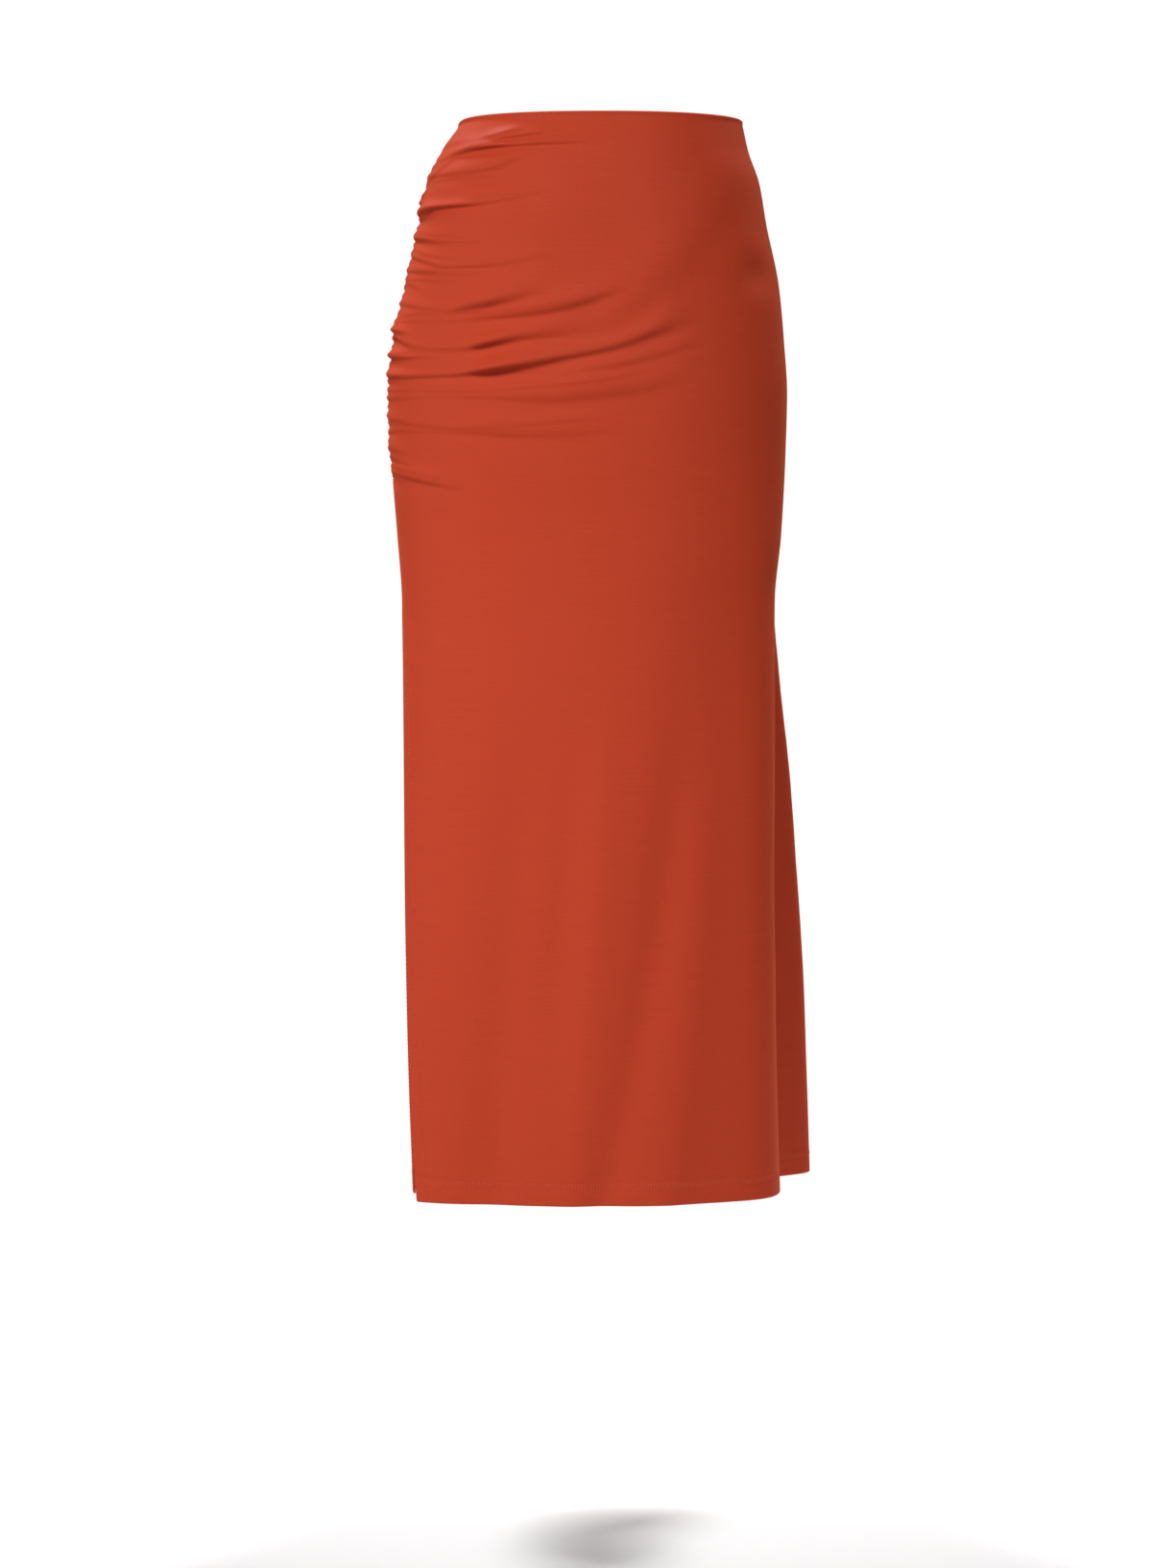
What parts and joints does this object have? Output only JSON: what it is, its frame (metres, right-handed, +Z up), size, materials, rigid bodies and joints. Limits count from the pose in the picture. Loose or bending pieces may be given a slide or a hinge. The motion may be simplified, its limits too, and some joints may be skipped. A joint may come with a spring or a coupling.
{
  "type": "midi skirt",
  "caption": "Worn-form midi skirt of fine jersey, ruched along one side seam, with a side slit below it and a soft flute on the other side.",
  "frame": {"origin": "middle of the waist opening, at the level of the waist edge, where the wearer holds the skirt", "axes": "+Z up out of the waist; the front faces -Y; +X is the wearer's left, the side with the flute, and -X the ruched side with the slit"},
  "size_m": [0.3477, 0.2769, 0.862],
  "materials": {
    "jersey": "fine rust-coloured viscose jersey, semi-matt with a soft sheen"
  },
  "bodies": {
    "root": {"front_panel": "jersey", "back_panel": "jersey"}
  },
  "joints": []
}
